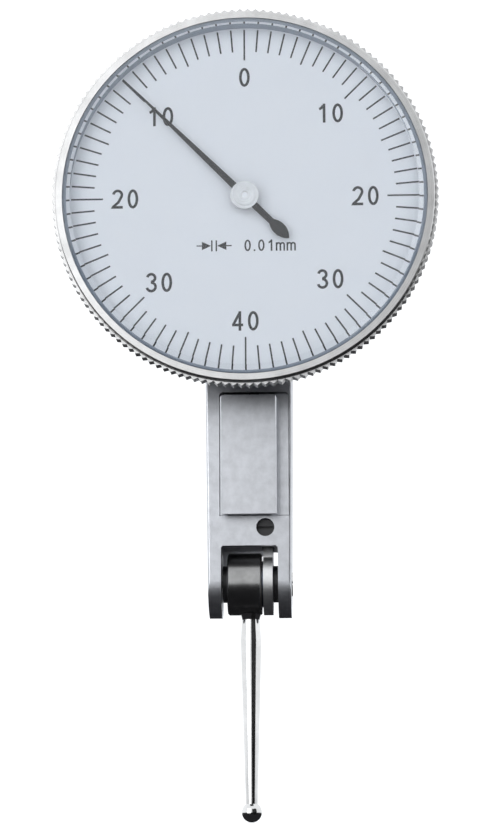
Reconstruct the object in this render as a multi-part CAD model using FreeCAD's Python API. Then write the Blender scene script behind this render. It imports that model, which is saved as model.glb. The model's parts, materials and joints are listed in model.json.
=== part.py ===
import FreeCAD, Part
import math
import os
from FreeCAD import Vector

# Dial test indicator: a forked stem with a swivelling stylus, a lever and sector
# gear inside the stem, a crown wheel train in a round case, and a dial under a
# knurled bezel. Millimetres. The origin is the centre of the front dovetail
# rail's face; +Z runs up the stem to the dial, -Y is the side that the dial
# faces, +X is to the right of someone who reads the dial.

# ---- driving dimensions ----
# dovetail rails, front and rear
RAIL_WIDTH = 5.6            # across the widest edges
RAIL_LENGTH = 11.9
RAIL_PROUD = 1.3            # height over the stem
RAIL_ANGLE = 60.0           # between the flank and the stem's face, degrees
RAIL_EDGE = 0.12            # broken edge around the rail's face
RAIL_CORNER = 0.35          # rounded upper corners

# stem and fork
STEM_WIDTH_TOP = 8.7        # where the stem meets the case
STEM_WIDTH_FORK = 8.24      # at the pivot
STEM_DEPTH = 6.8
STEM_EDGE = 0.22            # radius of the long edges
PIVOT_DROP = 12.5           # pivot axis below the origin
EAR_THICKNESS = 1.3
SLOT_RISE = 3.55            # top of the fork slot above the pivot
SLOT_CORNER = 0.3
SLOT_LIP_DEPTH = 1.2        # rear lip and web that close the slot round the drum
SLOT_LIP_RISE = 3.15        # lower edge of the lip above the pivot
SLOT_WEB_WIDTH = 0.46
SLOT_WEB_RISE = 1.9
CHANNEL_WIDTH = 5.4
CHANNEL_RISE = 8.65         # lower end of the channel above the pivot
WALL = 1.0                  # floor of the stem and of the case
PASSAGE_SIDE = 0.12         # lever to passage wall
PASSAGE_DEPTH = 4.8

# front cover
COVER_LEFT = 2.85           # side edges from the middle of the stem
COVER_RIGHT = 3.95
COVER_ABOVE_RAIL = 0.25
COVER_CORNER = 0.3          # rounded upper corners
COVER_THICKNESS = 0.98
COVER_GAP = 0.05            # seam along the right and lower edges
COVER_LEFT_GAP = 0.1
COVER_TOP_GAP = 0.25
POCKET_CORNER = 0.4         # rounded upper corners of the cover's pocket
COVER_SCREW_X = -1.7
COVER_SCREW_Z = (4.6, -4.75)
COVER_SCREW_RADIUS = 0.5
COVER_SCREW_HEAD_RADIUS = 0.9
COVER_SCREW_HEAD_DEPTH = 0.7
COVER_SCREW_BITE = 1.2      # thread in the rail behind its face
BOSS_RADIUS = 1.2

# round case
CASE_RADIUS = 16.5
CASE_WALL = 1.7
CASE_EDGE = 0.7
CASE_ABOVE_RAIL = 2.2       # lowest point of the case above the rail
NECK_STEP = 0.85            # neck that carries the bezel, inside the case's radius
NECK_LENGTH = 1.95

# bezel
BEZEL_FRONT = 7.3           # front ring face ahead of the rail's face
BEZEL_DEPTH = 4.5
BEZEL_OVER_CASE = 2.5       # knurl tips over the case's radius
BEZEL_RING_STEP = 0.4       # front ring face's edge inside the knurl tips
BEZEL_WALL_STEP = 0.3       # smooth wall inside the knurl tips
BEZEL_SKIRT_STEP = 0.65     # skirt behind the knurl, inside the knurl tips
BEZEL_SKIRT_LENGTH = 2.3
BEZEL_LIP_STEP = 1.1        # lip over the crystal inside the knurl tips
BEZEL_LIP_THICKNESS = 0.2
BEZEL_SEAT_STEP = 0.9       # seat of crystal and dial inside the knurl tips
BEZEL_EDGE = 0.1
KNURL_DEPTH = 0.28
KNURL_LENGTH = 1.6
KNURL_COUNT = 152
BEZEL_CLEARANCE = 0.05      # running fit on the neck and the snap ring
BEZEL_REAR_GAP = 0.15

# crystal, dial
CRYSTAL_BEVEL = 0.78        # width of the bevel around the flat
CRYSTAL_PROUD = 0.6
CRYSTAL_THICKNESS = 1.2
DIAL_BELOW_RING = 2.0       # dial face behind the bezel's front ring face
DIAL_THICKNESS = 0.4
DIAL_HOLE_RADIUS = 0.9
SPACER_WIDTH = 0.75
SEAT_CLEARANCE = 0.05

# snap ring that holds the bezel and gives its friction
SNAP_GROOVE_DEPTH = 0.35    # in the neck
SNAP_BEZEL_GROOVE_DEPTH = 0.4
SNAP_GROOVE_WIDTH = 0.6
SNAP_GAP_ANGLE = 12.0
SNAP_AHEAD = 0.25           # groove ahead of the middle of the neck

# pivot stack, positions along X
DRUM_RADIUS = 3.1
DRUM_LEFT = -2.26
DRUM_RIGHT = 1.16
DRUM_EDGE = 0.15
LEVER_LEFT = 1.32
LEVER_THICKNESS = 0.95
CLUTCH_RADIUS = 1.83
CLUTCH_THICKNESS = 0.46
FRICTION_WASHER_RADIUS = 2.3
FACE_CLEARANCE = 0.02       # between faces that slide on each other
SHAFT_RADIUS = 0.8
SHAFT_CLEARANCE = 0.05      # drum on shaft
SHAFT_PIVOT_RADIUS = 0.38
BEARING_RADIUS = 1.25
BEARING_PROUD = 0.1
BEARING_BORE_RADIUS = 0.42
BEARING_END = 0.45          # solid end of the bearing screw
BEARING_SLOT_HALF = 0.18
FIT = 0.02                  # between pieces fixed to each other
OVERCUT = 1.0               # how far a cut runs past the face it opens
DRIVER_SLOT_SHARE = 0.16    # half width of a driver slot over the head's radius

# stylus, distances from the pivot axis
STYLUS_BALL_RADIUS = 1.0
STYLUS_LENGTH = 22.5        # pivot axis to ball centre
STYLUS_THREAD_RADIUS = 0.7
STYLUS_THREAD_START = 1.2
STYLUS_SEAT = 2.95
STYLUS_WAIST_RADIUS = 0.895
STYLUS_WAIST_AT = 3.55
STYLUS_SHOULDER_RADIUS = 1.04
STYLUS_SHOULDER_AT = 5.58
STYLUS_TIP_RADIUS = 0.59

# gear train
MODULE = 0.1
CROWN_AHEAD = 2.73          # aim for the crown arbor ahead of the pivot
SECTOR_TEETH_BEHIND = 8     # cut teeth behind the rest mesh
SECTOR_TEETH_AHEAD = 3
CROWN_PINION_TEETH = 18
CROWN_TEETH = 92
CENTRE_PINION_TEETH = 21
PRESSURE_ANGLE = 20.0
ADDENDUM = 1.0
DEDENDUM = 1.25
BACKLASH = 0.025
CROWN_FACE = 0.5            # radial length of the crown wheel's teeth
CROWN_BACK = 2.0            # rear face of the crown wheel, from the dial axis
CROWN_HUB_RADIUS = 0.9
CROWN_HUB_LENGTH = 1.2
CROWN_WEB = 0.4
CROWN_PINION_LEFT = 0.5
CROWN_PINION_LENGTH = 0.95
CROWN_ARBOR_RADIUS = 0.35
ARBOR_PIVOT_RADIUS = 0.15
CENTRE_ARBOR_RADIUS = 0.3
CENTRE_PINION_LENGTH = 0.9
JEWEL_CLEARANCE = 0.04
CROWN_PIVOT_LENGTH = 0.72   # crown arbor's pivots in their jewels

# lever
LEVER_SWING = 2.9           # degrees of travel from the rest stop
LEVER_KNEE = 21.0           # where the arm cranks towards the sector
LEVER_ROOT_AT = 2.3
LEVER_ROOT_HALF = 1.9
LEVER_NECK_AT = 5.0
LEVER_NECK_HALF = 1.3
LEVER_KNEE_HALF = 0.9
LEVER_PAD_HALF = 1.4
LEVER_PAD_LENGTH = 3.0
LEVER_END_STEP = 3.35       # end of the arm inside the sector's pitch circle
SECTOR_DEPTH = 6.55
SECTOR_THICKNESS = 0.68
RIVET_RADIUS = 0.3
RIVET_STEP = 4.95           # rivets inside the sector's pitch circle
RIVET_HEAD_RADIUS = 0.5
RIVET_HEAD = 0.15
SPRING_PIN_AT = 19.0
SPRING_PIN_RADIUS = 0.3
SPRING_PIN_END = 0.0        # free end of the pin, along X

# lever stops and return spring
STOP_HOLE_RADIUS = 0.9
STOP_HOLE_X = 1.59
STOP_HOLE_RISE = 5.36       # above the pivot
STOP_GAP = 0.04
STOP_SCREW_RECESS = 0.8
STOP_SCREW_SLOT = 0.4
REST_STOP_RADIUS = 0.4
REST_STOP_RISE = 15.0
LEAF_THICKNESS = 0.12
LEAF_LEFT = -0.1
LEAF_RIGHT = 0.9
LEAF_FOOT = 1.7
LEAF_SCREW_AT = 1.02        # screw behind the bend of the leaf
LEAF_FRONT = 1.15           # bend of the leaf behind the stem's face
LEAF_OVERREACH = 0.7
LEAF_SCREW_RADIUS = 0.35
LEAF_SCREW_HEAD_RADIUS = 0.6
LEAF_SCREW_LENGTH = 1.5

# movement bridge
BRIDGE_MARGIN = 2.2         # bridge to case bore
BRIDGE_THICKNESS = 0.7
BRIDGE_BEHIND_DIAL = 0.45
BRIDGE_WINDOW_RADIUS = 3.0
BRIDGE_WINDOW_AT = 8.4
BRIDGE_WINDOW_ANGLE = 50.0
PILLAR_RADIUS = 1.2
PILLAR_MARGIN = 4.0         # pillar axes to case bore
PILLAR_ANGLES = (0.0, 110.0, 250.0)
PILLAR_SCREW_RADIUS = 0.5
PILLAR_SCREW_HEAD_RADIUS = 0.95
PILLAR_SCREW_HEAD = 0.4
PILLAR_SCREW_LENGTH = 2.2
LUG_INNER = 3.2
LUG_THICKNESS = 0.8
LUG_HALF_HEIGHT = 2.6
LUG_BEYOND_ARBOR = 1.4
JEWEL_RADIUS = 0.6
BRIDGE_JEWEL_RADIUS = 0.9
COCK_THICKNESS = 0.8
COCK_AHEAD_OF_ARBOR = 1.67  # rear face of the cock ahead of the crown arbor
COCK_END = -0.85
COCK_BELOW = 0.62
COCK_ABOVE = 1.4
COCK_SCREW_RADIUS = 0.25
COCK_SCREW_HEAD_RADIUS = 0.5
COCK_SCREW_LENGTH = 2.0

# hairspring
HAIRSPRING_START = 0.8
HAIRSPRING_PITCH = 0.64     # per turn
HAIRSPRING_TURNS = 3
HAIRSPRING_THICKNESS = 0.05
HAIRSPRING_HEIGHT = 0.3
HAIRSPRING_BEHIND_BRIDGE = 0.15
COLLET_RADIUS = 0.65
STUD_RADIUS = 0.25

# pointer
POINTER_ANGLE = -45.0       # rest position, clockwise from the top of the dial
POINTER_MARGIN = 0.32       # pointer's tip inside the spacer
POINTER_HALF = 0.36
POINTER_TIP_HALF = 0.05
POINTER_THICKNESS = 0.12
POINTER_ABOVE_DIAL = 0.6
TAIL_LENGTH = 6.13
TAIL_LEAF_START = 3.7
TAIL_LEAF_HALF = 0.62
TAIL_HALF = 0.3
HUB_RADIUS = 1.4
HUB_STEP_RADIUS = 1.05
HUB_THICKNESS = 0.45
HUB_STEP = 0.12
HUB_COLLAR_RADIUS = 0.7
HUB_COLLAR = 0.15           # collar behind the pointer blade
HUB_ARBOR_GRIP = 0.32       # arbor's depth in the hub, ahead of the blade

# ---- derived places ----
FACE_Y = RAIL_PROUD
BACK_Y = FACE_Y + STEM_DEPTH
MID_Y = FACE_Y + STEM_DEPTH / 2
FLOOR_Y = BACK_Y - WALL
CHANNEL_FRONT_Y = FACE_Y + COVER_THICKNESS + FIT
PIVOT_Z = -PIVOT_DROP
DIAL_Z = RAIL_LENGTH / 2 + CASE_ABOVE_RAIL + CASE_RADIUS
PIVOT_TO_DIAL = DIAL_Z + PIVOT_DROP
CASE_BORE = CASE_RADIUS - CASE_WALL
NECK_RADIUS = CASE_RADIUS - NECK_STEP
KNURL_RADIUS = CASE_RADIUS + BEZEL_OVER_CASE
BEZEL_RING_RADIUS = KNURL_RADIUS - BEZEL_RING_STEP
BEZEL_WALL_RADIUS = KNURL_RADIUS - BEZEL_WALL_STEP
BEZEL_SKIRT_RADIUS = KNURL_RADIUS - BEZEL_SKIRT_STEP
BEZEL_LIP_RADIUS = KNURL_RADIUS - BEZEL_LIP_STEP
BEZEL_SEAT_RADIUS = KNURL_RADIUS - BEZEL_SEAT_STEP
CRYSTAL_FLAT_RADIUS = BEZEL_LIP_RADIUS - SEAT_CLEARANCE - CRYSTAL_BEVEL
SPACER_BORE = BEZEL_SEAT_RADIUS - SEAT_CLEARANCE - SPACER_WIDTH
POINTER_LENGTH = SPACER_BORE - POINTER_MARGIN
BRIDGE_RADIUS = CASE_BORE - BRIDGE_MARGIN
PILLAR_AT = CASE_BORE - PILLAR_MARGIN
SLOT_HALF = STEM_WIDTH_FORK / 2 - EAR_THICKNESS
SLOT_TOP_Z = PIVOT_Z + SLOT_RISE
CHANNEL_LOW_Z = PIVOT_Z + CHANNEL_RISE
COVER_LOW_Z = -RAIL_LENGTH / 2
COVER_TOP_Z = RAIL_LENGTH / 2 + COVER_ABOVE_RAIL
BEZEL_FRONT_Y = -BEZEL_FRONT
BEZEL_REAR_Y = BEZEL_FRONT_Y + BEZEL_DEPTH
CASE_FRONT_Y = BEZEL_REAR_Y + BEZEL_REAR_GAP
NECK_FRONT_Y = CASE_FRONT_Y - NECK_LENGTH
SNAP_Y = (NECK_FRONT_Y + CASE_FRONT_Y) / 2 - SNAP_AHEAD
DIAL_FACE_Y = BEZEL_FRONT_Y + DIAL_BELOW_RING
DIAL_REAR_Y = DIAL_FACE_Y + DIAL_THICKNESS
CRYSTAL_FRONT_Y = BEZEL_FRONT_Y - CRYSTAL_PROUD
CRYSTAL_REAR_Y = CRYSTAL_FRONT_Y + CRYSTAL_THICKNESS
BEZEL_BORE = NECK_RADIUS + BEZEL_CLEARANCE
SNAP_GROOVE_RADIUS = NECK_RADIUS - SNAP_GROOVE_DEPTH
SNAP_BEZEL_GROOVE_RADIUS = BEZEL_BORE + SNAP_BEZEL_GROOVE_DEPTH
LEVER_RIGHT = LEVER_LEFT + LEVER_THICKNESS
CLUTCH_RIGHT = LEVER_RIGHT + FACE_CLEARANCE + CLUTCH_THICKNESS
CLUTCH_LEFT = DRUM_LEFT - FACE_CLEARANCE - CLUTCH_THICKNESS
EAR_OUTER = STEM_WIDTH_FORK / 2
BRIDGE_FRONT_Y = DIAL_REAR_Y + BRIDGE_BEHIND_DIAL
BRIDGE_REAR_Y = BRIDGE_FRONT_Y + BRIDGE_THICKNESS
CROWN_PINION_RADIUS = MODULE * CROWN_PINION_TEETH / 2
CROWN_RADIUS = MODULE * CROWN_TEETH / 2
CENTRE_PINION_RADIUS = MODULE * CENTRE_PINION_TEETH / 2
MESH_AIM = math.hypot(PIVOT_TO_DIAL, CROWN_AHEAD)
SECTOR_TEETH = int(2 * MESH_AIM / MODULE) - CROWN_PINION_TEETH    # of the full circle
SECTOR_RADIUS = MODULE * SECTOR_TEETH / 2
LEVER_END = SECTOR_RADIUS - LEVER_END_STEP
LEVER_PAD_AT = LEVER_END - LEVER_PAD_LENGTH
SECTOR_FOOT = SECTOR_RADIUS - SECTOR_DEPTH
RIVET_AT = SECTOR_RADIUS - RIVET_STEP
MESH_DISTANCE = SECTOR_RADIUS + CROWN_PINION_RADIUS
ARBOR_AHEAD = math.sqrt(MESH_DISTANCE ** 2 - PIVOT_TO_DIAL ** 2)
ARBOR_Y = MID_Y - ARBOR_AHEAD
MESH_ANGLE = math.degrees(math.atan2(ARBOR_AHEAD, PIVOT_TO_DIAL))
SECTOR_PITCH = 360.0 / SECTOR_TEETH
LEVER_REST = -LEVER_SWING / 2
CENTRE_MESH_Y = ARBOR_Y - CROWN_RADIUS
COCK_REAR_Y = ARBOR_Y - COCK_AHEAD_OF_ARBOR
COCK_FRONT_Y = COCK_REAR_Y - COCK_THICKNESS
HAIRSPRING_FRONT_Y = BRIDGE_REAR_Y + HAIRSPRING_BEHIND_BRIDGE
POINTER_REAR_Y = DIAL_FACE_Y - POINTER_ABOVE_DIAL
POINTER_FRONT_Y = POINTER_REAR_Y - POINTER_THICKNESS
RAIL_ROOT_HALF = RAIL_WIDTH / 2 - RAIL_PROUD / math.tan(math.radians(RAIL_ANGLE))

X = Vector(1, 0, 0)
Y = Vector(0, 1, 0)
Z = Vector(0, 0, 1)


# ---- shapes ----
def rod_x(radius, left, right, y, z):
    return Part.makeCylinder(radius, right - left, Vector(left, y, z), X)


def rod_y(radius, front, rear, x, z):
    return Part.makeCylinder(radius, rear - front, Vector(x, front, z), Y)


def rod_z(radius, low, high, x, y):
    return Part.makeCylinder(radius, high - low, Vector(x, y, low), Z)


def block(x, y, z):
    """Box between two limits on each axis."""
    size = (x[1] - x[0], y[1] - y[0], z[1] - z[0])
    return Part.makeBox(*size, Vector(x[0], y[0], z[0]))


def prism(points, along):
    """Extrude a closed polygon."""
    wire = Part.makePolygon(points + [points[0]])
    return Part.Face(wire).extrude(along)


def turned(profile, z=DIAL_Z):
    """Revolve (radius, y) points about the Y axis through the dial centre."""
    points = [Vector(r, y, z) for r, y in profile]
    face = Part.Face(Part.makePolygon(points + [points[0]]))
    return face.revolve(Vector(0, 0, z), Y, 360)


def joined(first, *others):
    return first.multiFuse(list(others)).removeSplitter()


def long_edges(shape, direction):
    """Straight edges of a shape that run within 5 degrees of a direction."""
    limit = math.cos(math.radians(5))
    chosen = []
    for edge in shape.Edges:
        if edge.Curve.TypeId == "Part::GeomLine":
            run = (edge.Vertexes[-1].Point - edge.Vertexes[0].Point).normalize()
            if abs(run.dot(direction)) > limit:
                chosen.append(edge)
    return chosen


def on_lever(reach, angle, side=0.0):
    """(y, z) of a point at a reach from the pivot; the angle leans it forward,
    side moves it forward at right angles to the reach."""
    a = math.radians(angle)
    y = MID_Y - reach * math.sin(a) - side * math.cos(a)
    z = PIVOT_Z + reach * math.cos(a) - side * math.sin(a)
    return y, z


def lever_half_width(reach):
    """Half width of the lever arm between its root and its knee."""
    if reach < LEVER_NECK_AT:
        share = (LEVER_NECK_AT - reach) / (LEVER_NECK_AT - LEVER_ROOT_AT)
        return LEVER_NECK_HALF + share * (LEVER_ROOT_HALF - LEVER_NECK_HALF)
    share = (reach - LEVER_NECK_AT) / (LEVER_KNEE - LEVER_NECK_AT)
    return LEVER_NECK_HALF + share * (LEVER_KNEE_HALF - LEVER_NECK_HALF)


def involute(angle):
    return math.tan(angle) - angle


def gear_outline(teeth, start):
    """Polar points (radius, angle) of an involute gear, with the middle of a
    gap at the start angle, in radians."""
    pitch_radius = MODULE * teeth / 2
    base = pitch_radius * math.cos(math.radians(PRESSURE_ANGLE))
    tip = pitch_radius + ADDENDUM * MODULE
    root = pitch_radius - DEDENDUM * MODULE
    half_tooth = math.pi / (2 * teeth) - BACKLASH / (2 * pitch_radius)
    at_base = half_tooth + involute(math.radians(PRESSURE_ANGLE))
    flank = [(root, at_base), (base, at_base)]
    for radius in (pitch_radius, tip):
        flank.append((radius, at_base - involute(math.acos(base / radius))))
    outline = []
    for index in range(teeth):
        middle = start + (index + 0.5) * 2 * math.pi / teeth
        outline += [(r, middle - a) for r, a in flank]
        outline += [(r, middle + a) for r, a in reversed(flank)]
    return outline


def rail(mirror=False):
    """Dovetail rail on the stem, its face at y = 0 before it is mirrored."""
    wide = RAIL_WIDTH / 2
    section = [(-RAIL_ROOT_HALF, FACE_Y), (-wide, RAIL_EDGE), (RAIL_EDGE - wide, 0.0),
               (wide - RAIL_EDGE, 0.0), (wide, RAIL_EDGE), (RAIL_ROOT_HALF, FACE_Y)]
    low = -RAIL_LENGTH / 2
    bar = prism([Vector(x, y, low) for x, y in section], Z * RAIL_LENGTH)
    plan = block((-wide, wide), (0, FACE_Y), (low, -low))
    corners = [e for e in long_edges(plan, Y) if e.Vertexes[0].Point.z > 0]
    bar = bar.common(plan.makeFillet(RAIL_CORNER, corners))
    if mirror:
        bar = bar.mirror(Vector(0, MID_Y, 0), Y)
    return bar


# ---- stem and case ----
def stem_blank():
    top = DIAL_Z - CASE_BORE + OVERCUT
    low = PIVOT_Z - STEM_DEPTH / 2
    slope = (STEM_WIDTH_TOP - STEM_WIDTH_FORK) / 2 / (top - PIVOT_Z)
    half_low = STEM_WIDTH_FORK / 2 - slope * STEM_DEPTH / 2
    half_top = STEM_WIDTH_TOP / 2
    front = [(-half_low, low), (half_low, low), (half_top, top), (-half_top, top)]
    bar = prism([Vector(x, FACE_Y, z) for x, z in front], Y * STEM_DEPTH)
    bar = bar.makeFillet(STEM_EDGE, long_edges(bar, Z))
    round_end = rod_x(STEM_DEPTH / 2, -half_top, half_top, MID_Y, PIVOT_Z)
    shaft = block((-half_top, half_top), (FACE_Y, BACK_Y), (PIVOT_Z, top))
    return bar.common(joined(round_end, shaft))


def case_blank():
    drum = rod_y(CASE_RADIUS, CASE_FRONT_Y, BACK_Y, 0, DIAL_Z)
    rear = [e for e in drum.Edges if abs(e.CenterOfMass.y - BACK_Y) < FIT]
    drum = drum.makeChamfer(CASE_EDGE, rear)
    neck = rod_y(NECK_RADIUS, NECK_FRONT_Y, CASE_FRONT_Y, 0, DIAL_Z)
    return joined(drum, neck)


def screw_places():
    """(x, z) of the pillars, from the top of the dial clockwise."""
    places = []
    for angle in PILLAR_ANGLES:
        a = math.radians(angle)
        places.append((PILLAR_AT * math.sin(a), DIAL_Z + PILLAR_AT * math.cos(a)))
    return places


def snap_groove(inner, outer):
    half = SNAP_GROOVE_WIDTH / 2
    return turned([(inner, SNAP_Y - half), (outer, SNAP_Y - half),
                   (outer, SNAP_Y + half), (inner, SNAP_Y + half)])


def rounded_above(plate, radius):
    """Round the two upper corners of a plate that lies across Y."""
    middle = plate.CenterOfMass.z
    return plate.makeFillet(radius, [e for e in long_edges(plate, Y) if e.CenterOfMass.z > middle])


def cover_pocket():
    across = (-COVER_LEFT - COVER_LEFT_GAP, COVER_RIGHT + COVER_GAP)
    tall = (COVER_LOW_Z - COVER_GAP, COVER_TOP_Z + COVER_TOP_GAP)
    return rounded_above(block(across, (FACE_Y, CHANNEL_FRONT_Y), tall), POCKET_CORNER)


def fork_slot():
    """Slot between the ears, less the lip and the web at its rear."""
    slot = block((-SLOT_HALF, SLOT_HALF), (FACE_Y, BACK_Y), (PIVOT_Z - STEM_DEPTH, SLOT_TOP_Z))
    slot = rounded_above(slot, SLOT_CORNER)
    deep = (BACK_Y - SLOT_LIP_DEPTH, BACK_Y)
    lip = block((-SLOT_HALF, LEVER_LEFT - PASSAGE_SIDE), deep, (PIVOT_Z + SLOT_LIP_RISE, SLOT_TOP_Z))
    web = block((-SLOT_HALF, SLOT_WEB_WIDTH - SLOT_HALF), deep, (PIVOT_Z + SLOT_WEB_RISE, SLOT_TOP_Z))
    return slot.cut(joined(lip, web))


def body_frame():
    body = joined(stem_blank(), case_blank(), rail(mirror=True))
    deep = CHANNEL_WIDTH / 2
    lever = (LEVER_LEFT - PASSAGE_SIDE, LEVER_RIGHT + PASSAGE_SIDE)
    passage = (MID_Y - PASSAGE_DEPTH / 2, MID_Y + PASSAGE_DEPTH / 2)
    boss_z = COVER_SCREW_Z[0]
    inside = (CHANNEL_FRONT_Y, FLOOR_Y)
    boss = rod_y(BOSS_RADIUS, *inside, COVER_SCREW_X, boss_z)
    web = block((-deep, COVER_SCREW_X), inside, (boss_z - BOSS_RADIUS, boss_z + BOSS_RADIUS))
    channel = block((-deep, deep), inside, (CHANNEL_LOW_Z, DIAL_Z - CASE_BORE + 2 * OVERCUT))
    leaf_screw_low = CHANNEL_LOW_Z - LEAF_SCREW_LENGTH
    leaf_screw_hole = LEAF_SCREW_RADIUS + FIT
    pin_z = PIVOT_Z + REST_STOP_RISE
    screw_y = travel_stop_y()
    cuts = [
        rod_y(CASE_BORE, NECK_FRONT_Y, FLOOR_Y, 0, DIAL_Z),
        channel.cut(joined(boss, web)),
        cover_pocket(),
        block(lever, passage, (SLOT_TOP_Z - SLOT_CORNER, CHANNEL_LOW_Z)),
        fork_slot(),
        rod_x(BEARING_RADIUS + FIT, -STEM_WIDTH_TOP, STEM_WIDTH_TOP, MID_Y, PIVOT_Z),
        rod_y(STOP_HOLE_RADIUS, FACE_Y, screw_y + FIT, STOP_HOLE_X, PIVOT_Z + STOP_HOLE_RISE),
        rod_y(REST_STOP_RADIUS + FIT, FLOOR_Y, BACK_Y, lever_middle(), pin_z),
        rod_z(leaf_screw_hole, leaf_screw_low, CHANNEL_LOW_Z, leaf_middle(), leaf_screw_y()),
        snap_groove(SNAP_GROOVE_RADIUS, NECK_RADIUS),
    ]
    rear = BACK_Y + RAIL_PROUD
    head_seat = rear - COVER_SCREW_HEAD_DEPTH - FIT
    for z in COVER_SCREW_Z:
        cuts.append(rod_y(COVER_SCREW_RADIUS + FIT, FACE_Y, rear, COVER_SCREW_X, z))
        cuts.append(rod_y(COVER_SCREW_HEAD_RADIUS + FIT, head_seat, rear, COVER_SCREW_X, z))
    head_seat = BACK_Y - PILLAR_SCREW_HEAD - FIT
    for x, z in screw_places():
        cuts.append(rod_y(PILLAR_SCREW_RADIUS + FIT, FLOOR_Y, BACK_Y, x, z))
        cuts.append(rod_y(PILLAR_SCREW_HEAD_RADIUS + FIT, head_seat, BACK_Y, x, z))
    for cut in cuts:
        body = body.cut(cut)
    return body


def front_cover():
    thick = (FACE_Y, FACE_Y + COVER_THICKNESS)
    plate = block((-COVER_LEFT, COVER_RIGHT), thick, (COVER_LOW_Z, COVER_TOP_Z))
    plate = rounded_above(plate, COVER_CORNER)
    cover = joined(plate, rail())
    rear = FACE_Y + COVER_THICKNESS
    deep = rear - COVER_SCREW_BITE - FIT
    for z in COVER_SCREW_Z:
        cover = cover.cut(rod_y(COVER_SCREW_RADIUS + FIT, deep, rear, COVER_SCREW_X, z))
    return cover


def driver_slot_y(x, z, radius, y, depth):
    """Slot across a head whose outer face is at y, open to +Y for a positive depth."""
    half = radius * DRIVER_SLOT_SHARE
    low, high = sorted((y - depth, y))
    return block((x - radius, x + radius), (low, high), (z - half, z + half))


def cover_screws():
    screws = []
    rear = BACK_Y + RAIL_PROUD
    for z in COVER_SCREW_Z:
        tip = FACE_Y + COVER_THICKNESS - COVER_SCREW_BITE
        shank = rod_y(COVER_SCREW_RADIUS, tip, rear, COVER_SCREW_X, z)
        head = rod_y(COVER_SCREW_HEAD_RADIUS, rear - COVER_SCREW_HEAD_DEPTH, rear, COVER_SCREW_X, z)
        screw = joined(shank, head)
        slot = driver_slot_y(COVER_SCREW_X, z, COVER_SCREW_HEAD_RADIUS, rear, COVER_SCREW_HEAD_DEPTH / 2)
        screws.append(screw.cut(slot))
    return Part.makeCompound(screws)


# ---- bezel, crystal and dial ----
def bezel_ring():
    front = BEZEL_FRONT_Y
    knurl_rear = BEZEL_REAR_Y - BEZEL_SKIRT_LENGTH
    knurl_front = knurl_rear - KNURL_LENGTH
    knurl_root = KNURL_RADIUS - KNURL_DEPTH
    lip_rear = front + BEZEL_LIP_THICKNESS
    ring = turned([
        (BEZEL_LIP_RADIUS, front), (BEZEL_RING_RADIUS - BEZEL_EDGE, front),
        (BEZEL_RING_RADIUS, front + BEZEL_EDGE), (BEZEL_WALL_RADIUS, knurl_front),
        (BEZEL_WALL_RADIUS, knurl_rear), (BEZEL_SKIRT_RADIUS, knurl_rear),
        (BEZEL_SKIRT_RADIUS, BEZEL_REAR_Y), (BEZEL_BORE, BEZEL_REAR_Y), (BEZEL_BORE, DIAL_REAR_Y),
        (BEZEL_SEAT_RADIUS, DIAL_REAR_Y), (BEZEL_SEAT_RADIUS, lip_rear), (BEZEL_LIP_RADIUS, lip_rear),
    ])
    points = []
    for index in range(2 * KNURL_COUNT):
        radius = KNURL_RADIUS if index % 2 else knurl_root
        a = math.pi * index / KNURL_COUNT
        points.append(Vector(radius * math.sin(a), knurl_front, DIAL_Z + radius * math.cos(a)))
    band = prism(points, Y * KNURL_LENGTH)
    middle = (BEZEL_SEAT_RADIUS + BEZEL_WALL_RADIUS) / 2
    band = band.cut(rod_y(middle, knurl_front, knurl_rear, 0, DIAL_Z))
    return ring.fuse(band).cut(snap_groove(BEZEL_BORE - FIT, SNAP_BEZEL_GROOVE_RADIUS))


def crystal():
    front, rear = CRYSTAL_FRONT_Y, CRYSTAL_REAR_Y
    rim = BEZEL_LIP_RADIUS - SEAT_CLEARANCE
    seat = BEZEL_SEAT_RADIUS - SEAT_CLEARANCE
    ledge = BEZEL_FRONT_Y + BEZEL_LIP_THICKNESS + FIT
    return turned([(0, front), (CRYSTAL_FLAT_RADIUS, front), (rim, BEZEL_FRONT_Y), (rim, ledge),
                   (seat, ledge), (seat, rear), (0, rear)])


def crystal_spacer():
    seat = BEZEL_SEAT_RADIUS - SEAT_CLEARANCE
    front, rear = CRYSTAL_REAR_Y + FIT, DIAL_FACE_Y - FIT
    return turned([(SPACER_BORE, front), (seat, front), (seat, rear), (SPACER_BORE, rear)])


def dial_plate():
    seat = BEZEL_SEAT_RADIUS - SEAT_CLEARANCE
    return turned([(DIAL_HOLE_RADIUS, DIAL_FACE_Y), (seat, DIAL_FACE_Y),
                   (seat, DIAL_REAR_Y), (DIAL_HOLE_RADIUS, DIAL_REAR_Y)])


def bezel_snap_ring():
    half = SNAP_GROOVE_WIDTH / 2 - BEZEL_CLEARANCE
    inner = SNAP_GROOVE_RADIUS + FIT
    outer = SNAP_BEZEL_GROOVE_RADIUS - BEZEL_CLEARANCE
    section = [(inner, SNAP_Y - half), (outer, SNAP_Y - half), (outer, SNAP_Y + half), (inner, SNAP_Y + half)]
    points = [Vector(r, y, DIAL_Z) for r, y in section]
    face = Part.Face(Part.makePolygon(points + [points[0]]))
    return face.revolve(Vector(0, 0, DIAL_Z), Y, 360 - SNAP_GAP_ANGLE)


# ---- pivot, stylus and lever ----
def lever_middle():
    return LEVER_LEFT + LEVER_THICKNESS / 2


def pivot_shaft():
    body = rod_x(SHAFT_RADIUS, CLUTCH_LEFT, CLUTCH_RIGHT, MID_Y, PIVOT_Z)
    reach = EAR_OUTER + BEARING_PROUD - BEARING_END - FIT
    ends = rod_x(SHAFT_PIVOT_RADIUS, -reach, reach, MID_Y, PIVOT_Z)
    return joined(body, ends)


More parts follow.
